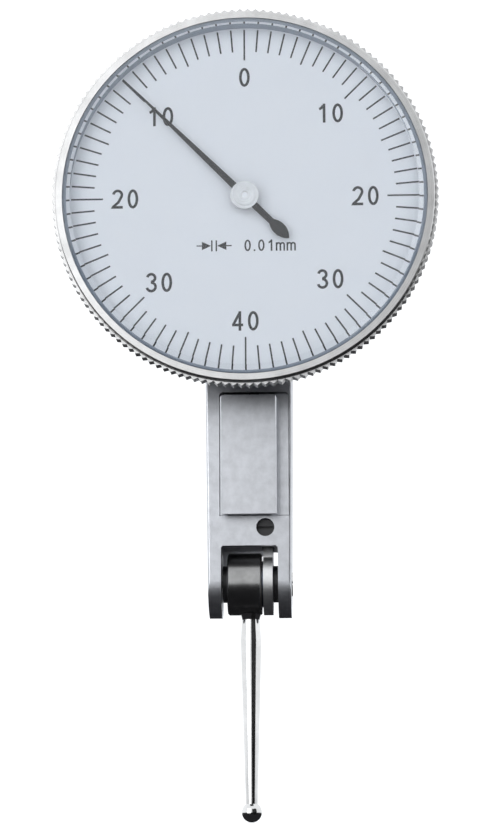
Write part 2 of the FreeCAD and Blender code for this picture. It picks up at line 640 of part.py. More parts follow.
def bearing_screw(side):
    """Bearing screw in one ear; side is 1 for the right ear, -1 for the left."""
    inner = SLOT_HALF
    outer = EAR_OUTER + BEARING_PROUD
    screw = rod_x(BEARING_RADIUS, inner, outer, MID_Y, PIVOT_Z)
    rim = [e for e in screw.Edges if e.CenterOfMass.x > outer - FIT]
    screw = screw.makeChamfer(BEARING_PROUD, rim)
    screw = screw.cut(rod_x(BEARING_BORE_RADIUS, inner, outer - BEARING_END, MID_Y, PIVOT_Z))
    across = (MID_Y - BEARING_RADIUS, MID_Y + BEARING_RADIUS)
    tall = (PIVOT_Z - BEARING_SLOT_HALF, PIVOT_Z + BEARING_SLOT_HALF)
    screw = screw.cut(block((outer - BEARING_END / 2, outer), across, tall))
    if side < 0:
        screw = screw.mirror(Vector(0, 0, 0), X)
    return screw


def washer_x(outer, inner, left, right):
    ring = rod_x(outer, left, right, MID_Y, PIVOT_Z)
    return ring.cut(rod_x(inner, left, right, MID_Y, PIVOT_Z))


def clutch_washer():
    return washer_x(CLUTCH_RADIUS, SHAFT_RADIUS + FIT, CLUTCH_LEFT, CLUTCH_LEFT + CLUTCH_THICKNESS)


def clutch_nut():
    return washer_x(CLUTCH_RADIUS, SHAFT_RADIUS + FIT, CLUTCH_RIGHT - CLUTCH_THICKNESS, CLUTCH_RIGHT)


def friction_washer():
    left = DRUM_RIGHT + FACE_CLEARANCE
    return washer_x(FRICTION_WASHER_RADIUS, SHAFT_RADIUS + FIT, left, LEVER_LEFT - FIT / 2)


def stylus_drum():
    drum = rod_x(DRUM_RADIUS, DRUM_LEFT, DRUM_RIGHT, MID_Y, PIVOT_Z)
    rims = [e for e in drum.Edges if e.Curve.TypeId == "Part::GeomCircle"]
    drum = drum.makeChamfer(DRUM_EDGE, rims)
    drum = drum.cut(rod_x(SHAFT_RADIUS + SHAFT_CLEARANCE, DRUM_LEFT, DRUM_RIGHT, MID_Y, PIVOT_Z))
    thread = rod_z(STYLUS_THREAD_RADIUS + FIT, PIVOT_Z - DRUM_RADIUS, PIVOT_Z, 0, MID_Y)
    seat = rod_z(STYLUS_SHOULDER_RADIUS + FIT, PIVOT_Z - DRUM_RADIUS, PIVOT_Z - STYLUS_SEAT, 0, MID_Y)
    return drum.cut(thread).cut(seat)


def stylus_shank():
    neck_at = STYLUS_LENGTH - math.sqrt(STYLUS_BALL_RADIUS ** 2 - STYLUS_TIP_RADIUS ** 2)
    profile = [(0, STYLUS_THREAD_START), (STYLUS_THREAD_RADIUS, STYLUS_THREAD_START),
               (STYLUS_THREAD_RADIUS, STYLUS_SEAT), (STYLUS_SHOULDER_RADIUS, STYLUS_SEAT),
               (STYLUS_WAIST_RADIUS, STYLUS_WAIST_AT), (STYLUS_SHOULDER_RADIUS, STYLUS_SHOULDER_AT),
               (STYLUS_TIP_RADIUS, neck_at), (0, neck_at)]
    points = [Vector(r, MID_Y, PIVOT_Z - d) for r, d in profile]
    face = Part.Face(Part.makePolygon(points + [points[0]]))
    return face.revolve(Vector(0, MID_Y, PIVOT_Z), Z, 360)


def stylus_ball():
    ball = Part.makeSphere(STYLUS_BALL_RADIUS, Vector(0, MID_Y, PIVOT_Z - STYLUS_LENGTH))
    above = STYLUS_LENGTH - math.sqrt(STYLUS_BALL_RADIUS ** 2 - STYLUS_TIP_RADIUS ** 2)
    wide = STYLUS_BALL_RADIUS
    top = block((-wide, wide), (MID_Y - wide, MID_Y + wide), (PIVOT_Z - above, PIVOT_Z - above + wide))
    return ball.cut(top)


def lever_arm():
    sector_middle = MESH_ANGLE + SECTOR_PITCH * (SECTOR_TEETH_AHEAD - SECTOR_TEETH_BEHIND) / 2
    stations = [(LEVER_ROOT_AT, LEVER_REST, LEVER_ROOT_HALF), (LEVER_NECK_AT, LEVER_REST, LEVER_NECK_HALF),
                (LEVER_KNEE, LEVER_REST, LEVER_KNEE_HALF), (LEVER_PAD_AT, sector_middle, LEVER_PAD_HALF),
                (LEVER_END, sector_middle, LEVER_PAD_HALF)]
    ahead = [on_lever(reach, angle, half) for reach, angle, half in stations]
    behind = [on_lever(reach, angle, -half) for reach, angle, half in reversed(stations)]
    points = [Vector(LEVER_LEFT, y, z) for y, z in ahead + behind]
    arm = prism(points, X * LEVER_THICKNESS)
    eye = rod_x(DRUM_RADIUS, LEVER_LEFT, LEVER_RIGHT, MID_Y, PIVOT_Z)
    arm = joined(arm, eye)
    arm = arm.cut(rod_x(SHAFT_RADIUS + FIT, LEVER_LEFT, LEVER_RIGHT, MID_Y, PIVOT_Z))
    for y, z in rivet_places():
        arm = arm.cut(rod_x(RIVET_RADIUS + FIT, LEVER_LEFT, LEVER_RIGHT, y, z))
    y, z = on_lever(SPRING_PIN_AT, LEVER_REST)
    return arm.cut(rod_x(SPRING_PIN_RADIUS + FIT, LEVER_LEFT, LEVER_RIGHT, y, z))


def rivet_places():
    middle = MESH_ANGLE + SECTOR_PITCH * (SECTOR_TEETH_AHEAD - SECTOR_TEETH_BEHIND) / 2
    return [on_lever(RIVET_AT, middle, side) for side in (LEVER_PAD_HALF / 2, -LEVER_PAD_HALF / 2)]


def sector_gear():
    tip = SECTOR_RADIUS + ADDENDUM * MODULE
    root = SECTOR_RADIUS - DEDENDUM * MODULE
    slope = math.tan(math.radians(PRESSURE_ANGLE))
    half_pitch_line = math.pi * MODULE / 4 - BACKLASH / 2
    half_tip = half_pitch_line - ADDENDUM * MODULE * slope
    half_root = half_pitch_line + DEDENDUM * MODULE * slope
    back = MESH_ANGLE - SECTOR_PITCH * (SECTOR_TEETH_BEHIND + 0.5)
    front = MESH_ANGLE + SECTOR_PITCH * (SECTOR_TEETH_AHEAD + 0.5)
    polar = [(root, back)]
    at_root = math.degrees(half_root / root)
    at_tip = math.degrees(half_tip / tip)
    for index in range(-SECTOR_TEETH_BEHIND, SECTOR_TEETH_AHEAD + 1):
        angle = MESH_ANGLE + SECTOR_PITCH * index
        polar += [(root, angle - at_root), (tip, angle - at_tip)]
        polar += [(tip, angle + at_tip), (root, angle + at_root)]
    polar += [(root, front), (SECTOR_FOOT, front), (SECTOR_FOOT, back)]
    left = LEVER_LEFT - SECTOR_THICKNESS - FIT
    points = [Vector(left, *on_lever(reach, angle)) for reach, angle in polar]
    gear = prism(points, X * SECTOR_THICKNESS)
    for y, z in rivet_places():
        gear = gear.cut(rod_x(RIVET_RADIUS + FIT, left, LEVER_LEFT, y, z))
    return gear


def sector_rivets():
    rivets = []
    left = LEVER_LEFT - SECTOR_THICKNESS - FIT
    for y, z in rivet_places():
        shank = rod_x(RIVET_RADIUS, left - RIVET_HEAD, LEVER_RIGHT + RIVET_HEAD, y, z)
        one = rod_x(RIVET_HEAD_RADIUS, left - RIVET_HEAD, left, y, z)
        other = rod_x(RIVET_HEAD_RADIUS, LEVER_RIGHT, LEVER_RIGHT + RIVET_HEAD, y, z)
        rivets.append(joined(shank, one, other))
    return Part.makeCompound(rivets)


def spring_pin():
    y, z = on_lever(SPRING_PIN_AT, LEVER_REST)
    return rod_x(SPRING_PIN_RADIUS, SPRING_PIN_END, LEVER_RIGHT, y, z)


def travel_stop_y():
    """Tip of the travel stop screw, just ahead of the lever at full swing."""
    widest_at = STOP_HOLE_RISE - STOP_HOLE_RADIUS
    y, _ = on_lever(widest_at, -LEVER_REST, lever_half_width(widest_at))
    return y - STOP_GAP


def travel_stop_screw():
    z = PIVOT_Z + STOP_HOLE_RISE
    outer = FACE_Y + STOP_SCREW_RECESS
    screw = rod_y(STOP_HOLE_RADIUS - FIT, outer, travel_stop_y(), STOP_HOLE_X, z)
    return screw.cut(driver_slot_y(STOP_HOLE_X, z, STOP_HOLE_RADIUS, outer, -STOP_SCREW_SLOT))


def rest_stop_pin():
    widest_at = REST_STOP_RISE - REST_STOP_RADIUS
    y, _ = on_lever(widest_at, LEVER_REST, -lever_half_width(widest_at))
    z = PIVOT_Z + REST_STOP_RISE
    return rod_y(REST_STOP_RADIUS, y + STOP_GAP, BACK_Y - FIT, lever_middle(), z)


def leaf_middle():
    return (LEAF_LEFT + LEAF_RIGHT) / 2


def leaf_screw_y():
    return FACE_Y + LEAF_FRONT + LEAF_SCREW_AT


def return_spring():
    pin_y, pin_z = on_lever(SPRING_PIN_AT, LEVER_REST)
    bend = FACE_Y + LEAF_FRONT
    low = CHANNEL_LOW_Z
    touch = pin_y - SPRING_PIN_RADIUS - FIT
    lean = (touch - bend) / (pin_z - low)
    top = pin_z + LEAF_OVERREACH
    end = bend + lean * (top - low)
    foot_top = low + LEAF_THICKNESS
    side = [(bend + LEAF_FOOT, low), (bend + LEAF_FOOT, foot_top), (bend + LEAF_THICKNESS, foot_top),
            (end, top), (end - LEAF_THICKNESS, top), (bend - LEAF_THICKNESS / 2, low)]
    points = [Vector(LEAF_LEFT, y, z) for y, z in side]
    leaf = prism(points, X * (LEAF_RIGHT - LEAF_LEFT))
    hole = rod_z(LEAF_SCREW_RADIUS + FIT, low, foot_top, leaf_middle(), leaf_screw_y())
    return leaf.cut(hole)


def spring_screw():
    low = CHANNEL_LOW_Z - LEAF_SCREW_LENGTH + FIT
    head_low = CHANNEL_LOW_Z + LEAF_THICKNESS + FIT
    x, y = leaf_middle(), leaf_screw_y()
    shank = rod_z(LEAF_SCREW_RADIUS, low, head_low, x, y)
    head = rod_z(LEAF_SCREW_HEAD_RADIUS, head_low, head_low + LEAF_SCREW_RADIUS, x, y)
    return joined(shank, head)


# ---- movement ----
def movement_bridge():
    plate = rod_y(BRIDGE_RADIUS, BRIDGE_FRONT_Y, BRIDGE_REAR_Y, 0, DIAL_Z)
    lug_rear = ARBOR_Y + LUG_BEYOND_ARBOR
    height = (DIAL_Z - LUG_HALF_HEIGHT, DIAL_Z + LUG_HALF_HEIGHT)
    outer = LUG_INNER + LUG_THICKNESS
    right = block((LUG_INNER, outer), (BRIDGE_FRONT_Y, lug_rear), height)
    left = block((-outer, -LUG_INNER), (BRIDGE_FRONT_Y, lug_rear), height)
    bridge = joined(plate, right, left)
    bridge = bridge.cut(rod_y(BRIDGE_JEWEL_RADIUS + FIT, BRIDGE_FRONT_Y, BRIDGE_REAR_Y, 0, DIAL_Z))
    bridge = bridge.cut(rod_x(JEWEL_RADIUS + FIT, -outer, outer, ARBOR_Y, DIAL_Z))
    cock_y = (COCK_FRONT_Y + COCK_REAR_Y) / 2
    bridge = bridge.cut(rod_x(COCK_SCREW_RADIUS + FIT, LUG_INNER, outer, cock_y, cock_screw_z()))
    for x, z in screw_places():
        bridge = bridge.cut(rod_y(PILLAR_SCREW_RADIUS + FIT, BRIDGE_FRONT_Y, BRIDGE_REAR_Y, x, z))
    for side in (-1, 1):
        x = side * BRIDGE_WINDOW_AT * math.sin(math.radians(BRIDGE_WINDOW_ANGLE))
        z = DIAL_Z + BRIDGE_WINDOW_AT * math.cos(math.radians(BRIDGE_WINDOW_ANGLE))
        bridge = bridge.cut(rod_y(BRIDGE_WINDOW_RADIUS, BRIDGE_FRONT_Y, BRIDGE_REAR_Y, x, z))
    return bridge


def bridge_pillars():
    bore = PILLAR_SCREW_RADIUS + FIT
    front, rear = BRIDGE_REAR_Y + FIT, FLOOR_Y - FIT
    return Part.makeCompound([ring_y(PILLAR_RADIUS, bore, front, rear, x, z) for x, z in screw_places()])


def bridge_screws():
    """Screws through the bridge into the front ends of the pillars; their
    cheese heads stay behind the dial."""
    screws = []
    head_front = BRIDGE_FRONT_Y - BRIDGE_BEHIND_DIAL / 2
    tip = BRIDGE_REAR_Y + PILLAR_SCREW_LENGTH - 2 * FIT
    for x, z in screw_places():
        shank = rod_y(PILLAR_SCREW_RADIUS, head_front, tip, x, z)
        head = rod_y(PILLAR_SCREW_HEAD_RADIUS, head_front, BRIDGE_FRONT_Y, x, z)
        slot = driver_slot_y(x, z, PILLAR_SCREW_HEAD_RADIUS, head_front, -BRIDGE_BEHIND_DIAL / 4)
        screws.append(joined(shank, head).cut(slot))
    return Part.makeCompound(screws)


def pillar_screws():
    """Screws through the case floor into the rear ends of the pillars."""
    screws = []
    for x, z in screw_places():
        shank = rod_y(PILLAR_SCREW_RADIUS, FLOOR_Y - PILLAR_SCREW_LENGTH + 2 * FIT, BACK_Y, x, z)
        head = rod_y(PILLAR_SCREW_HEAD_RADIUS, BACK_Y - PILLAR_SCREW_HEAD, BACK_Y, x, z)
        slot = driver_slot_y(x, z, PILLAR_SCREW_HEAD_RADIUS, BACK_Y, PILLAR_SCREW_HEAD / 2)
        screws.append(joined(shank, head).cut(slot))
    return Part.makeCompound(screws)


def cock_screw_z():
    return DIAL_Z + COCK_ABOVE - 2 * COCK_SCREW_HEAD_RADIUS


def centre_cock():
    deep = (COCK_FRONT_Y, COCK_REAR_Y)
    cock = block((COCK_END, LUG_INNER - FIT), deep, (DIAL_Z - COCK_BELOW, DIAL_Z + COCK_ABOVE))
    cock = cock.cut(rod_y(JEWEL_RADIUS - FIT, COCK_FRONT_Y, COCK_REAR_Y, 0, DIAL_Z))
    y = (COCK_FRONT_Y + COCK_REAR_Y) / 2
    tip = LUG_INNER - COCK_SCREW_LENGTH
    return cock.cut(rod_x(COCK_SCREW_RADIUS + FIT, tip, LUG_INNER, y, cock_screw_z()))


def cock_screw():
    y = (COCK_FRONT_Y + COCK_REAR_Y) / 2
    outer = LUG_INNER + LUG_THICKNESS
    z = cock_screw_z()
    shank = rod_x(COCK_SCREW_RADIUS, LUG_INNER - COCK_SCREW_LENGTH + FIT, outer, y, z)
    head = rod_x(COCK_SCREW_HEAD_RADIUS, outer, outer + COCK_SCREW_RADIUS, y, z)
    return joined(shank, head)


def ring_y(outer, inner, front, rear, x=0.0, z=DIAL_Z):
    return rod_y(outer, front, rear, x, z).cut(rod_y(inner, front, rear, x, z))


def ring_x(outer, inner, left, right, y=ARBOR_Y, z=DIAL_Z):
    return rod_x(outer, left, right, y, z).cut(rod_x(inner, left, right, y, z))


def bridge_jewel():
    bore = CENTRE_ARBOR_RADIUS + JEWEL_CLEARANCE
    return ring_y(BRIDGE_JEWEL_RADIUS, bore, BRIDGE_FRONT_Y, BRIDGE_REAR_Y)


def cock_jewel():
    bore = ARBOR_PIVOT_RADIUS + JEWEL_CLEARANCE
    return ring_y(JEWEL_RADIUS - 2 * FIT, bore, COCK_FRONT_Y, COCK_REAR_Y)


def crown_jewels():
    bore = ARBOR_PIVOT_RADIUS + JEWEL_CLEARANCE
    right = ring_x(JEWEL_RADIUS, bore, LUG_INNER, LUG_INNER + LUG_THICKNESS)
    left = ring_x(JEWEL_RADIUS, bore, -LUG_INNER - LUG_THICKNESS, -LUG_INNER)
    return Part.makeCompound([left, right])


def crown_arbor():
    shoulder = LUG_INNER - JEWEL_CLEARANCE
    body = rod_x(CROWN_ARBOR_RADIUS, -shoulder, shoulder, ARBOR_Y, DIAL_Z)
    reach = LUG_INNER + CROWN_PIVOT_LENGTH
    pivots = rod_x(ARBOR_PIVOT_RADIUS, -reach, reach, ARBOR_Y, DIAL_Z)
    return joined(body, pivots)


def crown_pinion():
    """Pinion on the crown arbor, with a gap turned towards the pivot."""
    start = math.atan2(-PIVOT_TO_DIAL, ARBOR_AHEAD)
    points = [Vector(CROWN_PINION_LEFT, ARBOR_Y + r * math.cos(a), DIAL_Z + r * math.sin(a))
              for r, a in gear_outline(CROWN_PINION_TEETH, start)]
    right = CROWN_PINION_LEFT + CROWN_PINION_LENGTH
    gear = prism(points, X * CROWN_PINION_LENGTH)
    return gear.cut(rod_x(CROWN_ARBOR_RADIUS + FIT, CROWN_PINION_LEFT, right, ARBOR_Y, DIAL_Z))


def crown_teeth():
    """Rim of the crown wheel: a solid of flat facets, with axial teeth of
    constant width; the first tooth's middle line points along -Y."""
    slope = math.tan(math.radians(PRESSURE_ANGLE))
    half = math.pi * MODULE / 4 - BACKLASH / 2
    tip_x = -CENTRE_PINION_RADIUS + ADDENDUM * MODULE
    root_x = -CENTRE_PINION_RADIUS - DEDENDUM * MODULE
    half_tip = half - ADDENDUM * MODULE * slope
    half_root = half + DEDENDUM * MODULE * slope
    section = [(-CROWN_BACK, -half_root), (root_x, -half_root), (tip_x, -half_tip),
               (tip_x, half_tip), (root_x, half_root), (-CROWN_BACK, half_root)]

    def ring_of_sections(radius):
        rows = []
        for index in range(CROWN_TEETH):
            a = 2 * math.pi * index / CROWN_TEETH
            place = [(x, radius * math.cos(a) - w * math.sin(a), radius * math.sin(a) + w * math.cos(a))
                     for x, w in section]
            rows.append([Vector(x, ARBOR_Y - ahead, DIAL_Z - down) for x, ahead, down in place])
        return rows

    inner = ring_of_sections(CROWN_RADIUS - CROWN_FACE / 2)
    outer = ring_of_sections(CROWN_RADIUS + CROWN_FACE / 2)
    facets = []
    for index in range(CROWN_TEETH):
        near, far = inner[index], outer[index]
        next_near, next_far = inner[(index + 1) % CROWN_TEETH], outer[(index + 1) % CROWN_TEETH]
        facets += [near, far]
        for k in range(1, 4):
            facets.append([near[k], near[k + 1], far[k + 1], far[k]])
        facets.append([near[4], far[4], next_far[1], next_near[1]])
        facets.append([near[5], far[5], next_far[0], next_near[0]])
        facets.append([near[0], far[0], far[5], near[5]])
        facets.append([near[4], near[5], next_near[0], next_near[1]])
        facets.append([far[4], far[5], next_far[0], next_far[1]])
    shell = Part.makeShell([Part.Face(Part.makePolygon(f + [f[0]])) for f in facets])
    rim = Part.makeSolid(shell)
    if rim.Volume < 0:
        rim.reverse()
    return rim


def crown_wheel():
    back = -CROWN_BACK
    bore = CROWN_ARBOR_RADIUS + FIT
    web = ring_x(CROWN_RADIUS, bore, back + CROWN_WEB / 2, back + CROWN_WEB * 3 / 2)
    hub = ring_x(CROWN_HUB_RADIUS, bore, back - CROWN_HUB_LENGTH / 2, back + CROWN_HUB_LENGTH / 2)
    return crown_teeth().fuse(web).fuse(hub)


def centre_arbor():
    front = POINTER_FRONT_Y - HUB_ARBOR_GRIP
    shoulder = COCK_FRONT_Y - JEWEL_CLEARANCE
    body = rod_y(CENTRE_ARBOR_RADIUS, front, shoulder, 0, DIAL_Z)
    pivot = rod_y(ARBOR_PIVOT_RADIUS, shoulder, COCK_REAR_Y - JEWEL_CLEARANCE, 0, DIAL_Z)
    return joined(body, pivot)


def centre_pinion():
    """Pinion on the centre arbor, with a gap turned towards the crown wheel."""
    front = CENTRE_MESH_Y - CENTRE_PINION_LENGTH / 2
    points = [Vector(r * math.cos(a), front, DIAL_Z + r * math.sin(a))
              for r, a in gear_outline(CENTRE_PINION_TEETH, math.pi)]
    gear = prism(points, Y * CENTRE_PINION_LENGTH)
    return gear.cut(rod_y(CENTRE_ARBOR_RADIUS + FIT, front, front + CENTRE_PINION_LENGTH, 0, DIAL_Z))


def hairspring_collet():
    front = HAIRSPRING_FRONT_Y
    return ring_y(COLLET_RADIUS, CENTRE_ARBOR_RADIUS + FIT, front, front + HAIRSPRING_HEIGHT)


def half_turn(radius, middle, upper):
    """Semicircle about (middle, dial height) in the dial's plane."""
    way = 1 if upper else -1
    y = HAIRSPRING_FRONT_Y
    return Part.Arc(Vector(middle + way * radius, y, DIAL_Z), Vector(middle, y, DIAL_Z + way * radius),
                    Vector(middle - way * radius, y, DIAL_Z)).toShape()


def hairspring():
    """Flat spiral of semicircles, each one wider than the last."""
    half = HAIRSPRING_THICKNESS / 2
    step = HAIRSPRING_PITCH / 2
    inner, outer = [], []
    for index in range(2 * HAIRSPRING_TURNS):
        upper = index % 2 == 0
        radius = HAIRSPRING_START + step * index
        middle = 0.0 if upper else step
        inner.append(half_turn(radius - half, middle, upper))
        outer.append(half_turn(radius + half, middle, upper))
    start = Part.LineSegment(inner[0].Vertexes[0].Point, outer[0].Vertexes[0].Point).toShape()
    end = Part.LineSegment(inner[-1].Vertexes[-1].Point, outer[-1].Vertexes[-1].Point).toShape()
    wire = Part.Wire(Part.__sortEdges__(inner + outer + [start, end]))
    return Part.Face(wire).extrude(Y * HAIRSPRING_HEIGHT)


def hairspring_stud():
    """Stud on the bridge that holds the outer end of the spring."""
    x = HAIRSPRING_START + HAIRSPRING_PITCH * HAIRSPRING_TURNS
    rear = HAIRSPRING_FRONT_Y + HAIRSPRING_HEIGHT
    return rod_y(STUD_RADIUS, BRIDGE_REAR_Y, rear, x, DIAL_Z + STUD_RADIUS)


# ---- pointer ----
def clockwise(shape, angle):
    """Turn a shape about the dial's axis, clockwise to someone who reads it."""
    turned_shape = shape.copy()
    turned_shape.rotate(Vector(0, 0, DIAL_Z), Y, angle)
    return turned_shape


def pointer():
    y = POINTER_FRONT_Y

    def at(x, up):
        return Vector(x, y, DIAL_Z + up)

    widest = -(TAIL_LEAF_START + TAIL_LENGTH) / 2
    start = -TAIL_LEAF_START
    end = at(0, -TAIL_LENGTH)
    tip = POINTER_TIP_HALF
    blade = Part.makePolygon([
        at(-TAIL_HALF, start), at(-POINTER_HALF, 0), at(-tip, POINTER_LENGTH),
        at(tip, POINTER_LENGTH), at(POINTER_HALF, 0), at(TAIL_HALF, start)])
    right = Part.Arc(at(TAIL_HALF, start), at(TAIL_LEAF_HALF, widest), end).toShape()
    left = Part.Arc(end, at(-TAIL_LEAF_HALF, widest), at(-TAIL_HALF, start)).toShape()
    wire = Part.Wire(Part.__sortEdges__(blade.Edges + [right, left]))
    plate = Part.Face(wire).extrude(Y * POINTER_THICKNESS)
    disc = rod_y(HUB_STEP_RADIUS, POINTER_FRONT_Y, POINTER_REAR_Y, 0, DIAL_Z)
    plate = joined(plate, disc)
    plate = plate.cut(rod_y(HUB_COLLAR_RADIUS + FIT, POINTER_FRONT_Y, POINTER_REAR_Y, 0, DIAL_Z))
    return clockwise(plate, POINTER_ANGLE)


def pointer_hub():
    front = POINTER_FRONT_Y - HUB_THICKNESS
    bore = CENTRE_ARBOR_RADIUS + FIT
    rear = POINTER_REAR_Y + HUB_COLLAR
    return turned([(bore, front), (HUB_STEP_RADIUS, front), (HUB_STEP_RADIUS, front + HUB_STEP),
                   (HUB_RADIUS, front + HUB_STEP), (HUB_RADIUS, POINTER_FRONT_Y),
                   (HUB_COLLAR_RADIUS, POINTER_FRONT_Y), (HUB_COLLAR_RADIUS, rear), (bore, rear)])


NODES = {
    "body_frame": body_frame,
    "front_cover": front_cover,
    "cover_screws": cover_screws,
    "bezel_ring": bezel_ring,
    "crystal": crystal,
    "crystal_spacer": crystal_spacer,
    "dial_plate": dial_plate,
    "bezel_snap_ring": bezel_snap_ring,
    "pivot_shaft": pivot_shaft,
    "left_bearing_screw": lambda: bearing_screw(-1),
    "right_bearing_screw": lambda: bearing_screw(1),
    "clutch_washer": clutch_washer,
    "clutch_nut": clutch_nut,
    "friction_washer": friction_washer,
    "stylus_drum": stylus_drum,
    "stylus_shank": stylus_shank,
    "stylus_ball": stylus_ball,
    "lever_arm": lever_arm,
    "sector_gear": sector_gear,
    "sector_rivets": sector_rivets,
    "spring_pin": spring_pin,
    "travel_stop_screw": travel_stop_screw,
    "rest_stop_pin": rest_stop_pin,
    "return_spring": return_spring,
    "spring_screw": spring_screw,
    "movement_bridge": movement_bridge,
    "bridge_pillars": bridge_pillars,
    "bridge_screws": bridge_screws,
    "pillar_screws": pillar_screws,
    "centre_cock": centre_cock,
    "cock_screw": cock_screw,
    "bridge_jewel": bridge_jewel,
    "cock_jewel": cock_jewel,
    "crown_jewels": crown_jewels,
    "crown_arbor": crown_arbor,
    "crown_pinion": crown_pinion,
    "crown_wheel": crown_wheel,
    "centre_arbor": centre_arbor,
    "centre_pinion": centre_pinion,
    "hairspring_collet": hairspring_collet,
    "hairspring": hairspring,
    "hairspring_stud": hairspring_stud,
    "pointer": pointer,
    "pointer_hub": pointer_hub,
}

os.makedirs("parts", exist_ok=True)
for name, make in NODES.items():
    shape = make()
    shape.exportStep("parts/" + name + ".step")
    print(name, len(shape.Solids), round(shape.Volume, 4), shape.isValid())
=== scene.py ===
import json
import math
import bmesh
import bpy
from mathutils import Matrix, Vector


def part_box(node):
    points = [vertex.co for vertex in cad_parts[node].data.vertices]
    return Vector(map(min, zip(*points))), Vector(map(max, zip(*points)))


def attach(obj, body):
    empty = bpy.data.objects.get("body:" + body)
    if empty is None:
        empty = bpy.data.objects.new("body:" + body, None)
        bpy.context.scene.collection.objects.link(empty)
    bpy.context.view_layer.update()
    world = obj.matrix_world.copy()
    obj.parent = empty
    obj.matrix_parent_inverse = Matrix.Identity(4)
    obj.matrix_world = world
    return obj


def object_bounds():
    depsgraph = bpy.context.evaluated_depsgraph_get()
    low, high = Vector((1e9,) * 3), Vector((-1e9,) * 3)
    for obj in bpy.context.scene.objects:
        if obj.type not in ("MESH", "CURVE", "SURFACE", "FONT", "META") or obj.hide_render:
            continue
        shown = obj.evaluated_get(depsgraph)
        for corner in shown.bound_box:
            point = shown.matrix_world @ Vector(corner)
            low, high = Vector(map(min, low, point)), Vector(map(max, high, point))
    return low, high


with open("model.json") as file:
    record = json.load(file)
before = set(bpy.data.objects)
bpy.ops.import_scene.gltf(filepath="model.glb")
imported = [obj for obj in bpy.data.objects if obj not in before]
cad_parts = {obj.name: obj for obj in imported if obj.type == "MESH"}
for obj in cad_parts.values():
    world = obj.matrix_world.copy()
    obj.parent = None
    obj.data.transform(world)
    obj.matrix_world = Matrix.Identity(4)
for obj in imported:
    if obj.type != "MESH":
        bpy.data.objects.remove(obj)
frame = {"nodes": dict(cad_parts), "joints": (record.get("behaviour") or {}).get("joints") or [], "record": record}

cad_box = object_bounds()
nodes = frame["nodes"]
joints = {joint["name"]: joint for joint in frame["joints"]}
MM = 0.001
DIAL = Vector(joints["bezel_turn"]["pos_m"])
PIVOT = Vector(joints["lever_swing"]["pos_m"])
DIAL_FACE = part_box("dial_plate")[0].y


# ---- node helpers ----
RING_PITCH = 0.06 * MM      # of the finest lathe rings


class Shader:
    """A material's node tree with short calls for the nodes used here."""

    def __init__(self, name):
        self.material = bpy.data.materials.new(name)
        self.material.use_nodes = True
        self.tree = self.material.node_tree
        self.bsdf = self.tree.nodes["Principled BSDF"]

    def put(self, socket, value):
        if isinstance(value, bpy.types.NodeSocket):
            self.tree.links.new(value, socket)
        else:
            socket.default_value = value

    def node(self, kind, **settings):
        made = self.tree.nodes.new(kind)
        for key, value in settings.items():
            setattr(made, key, value)
        return made

    def math(self, operation, first, second=0.0, third=0.0, clamp=False):
        made = self.node("ShaderNodeMath", operation=operation, use_clamp=clamp)
        for socket, value in zip(made.inputs, (first, second, third)):
            self.put(socket, value)
        return made.outputs[0]

    def place(self):
        """Point on the piece, in metres in the row frame."""
        return self.node("ShaderNodeTexCoord").outputs["Object"]

    def split(self, vector):
        made = self.node("ShaderNodeSeparateXYZ")
        self.put(made.inputs[0], vector)
        return made.outputs

    def join(self, x, y, z):
        made = self.node("ShaderNodeCombineXYZ")
        for socket, value in zip(made.inputs, (x, y, z)):
            self.put(socket, value)
        return made.outputs[0]

    def noise(self, vector, scale, detail=4.0, rough=0.6):
        made = self.node("ShaderNodeTexNoise")
        self.put(made.inputs["Vector"], vector)
        made.inputs["Scale"].default_value = scale
        made.inputs["Detail"].default_value = detail
        made.inputs["Roughness"].default_value = rough
        return made.outputs["Fac"]

    def ramp(self, value, low, high, start=0.0, end=1.0, smooth=False):
        made = self.node("ShaderNodeMapRange", interpolation_type="SMOOTHSTEP" if smooth else "LINEAR")
        self.put(made.inputs["Value"], value)
        for name, number in (("From Min", low), ("From Max", high), ("To Min", start), ("To Max", end)):
            self.put(made.inputs[name], number)
        return made.outputs["Result"]

    def mix(self, amount, first, second):
        made = self.node("ShaderNodeMix", data_type="RGBA")
        self.put(made.inputs[0], amount)
        self.put(made.inputs[6], first)
        self.put(made.inputs[7], second)
        return made.outputs[2]

    def bump(self, height, strength, distance):
        made = self.node("ShaderNodeBump")
        made.inputs["Strength"].default_value = strength
        made.inputs["Distance"].default_value = distance
        self.put(made.inputs["Height"], height)
        self.put(self.bsdf.inputs["Normal"], made.outputs["Normal"])

    def radius(self, centre, axis):
        """Distance of a point from a line through centre along the axis letter."""
        x, y, z = self.split(self.place())
        a, b = {"X": ((y, centre.y), (z, centre.z)), "Y": ((x, centre.x), (z, centre.z)),
                "Z": ((x, centre.x), (y, centre.y))}[axis]
        first = self.math("SUBTRACT", *a)
        second = self.math("SUBTRACT", *b)
        return self.math("SQRT", self.math("ADD", self.math("MULTIPLY", first, first),
                                           self.math("MULTIPLY", second, second)))


def grey(value, tint=(1.0, 1.0, 1.0)):
    return (value * tint[0], value * tint[1], value * tint[2], 1.0)


def tone(shader, low, high, tint, scale, detail=4.0):
    """Base colour that wanders between two greys."""
    wander = shader.ramp(shader.noise(shader.place(), scale, detail), 0.35, 0.65)
    shader.put(shader.bsdf.inputs["Base Color"], shader.mix(wander, grey(low, tint), grey(high, tint)))


def satin(name, low, high, tint=(0.985, 0.99, 1.0), rough=(0.34, 0.46), grain=9000, strength=0.25):
    """Bead-blasted and chromed metal: even fine pits and a soft mottle."""
    shader = Shader(name)
    tone(shader, low, high, tint, 900.0)
    pits = shader.noise(shader.place(), grain, 2.0, 0.5)
    shader.put(shader.bsdf.inputs["Roughness"], shader.ramp(pits, 0.3, 0.7, *rough))
    shader.bsdf.inputs["Metallic"].default_value = 1.0
    shader.bump(pits, strength, 0.00001)
    return shader.material


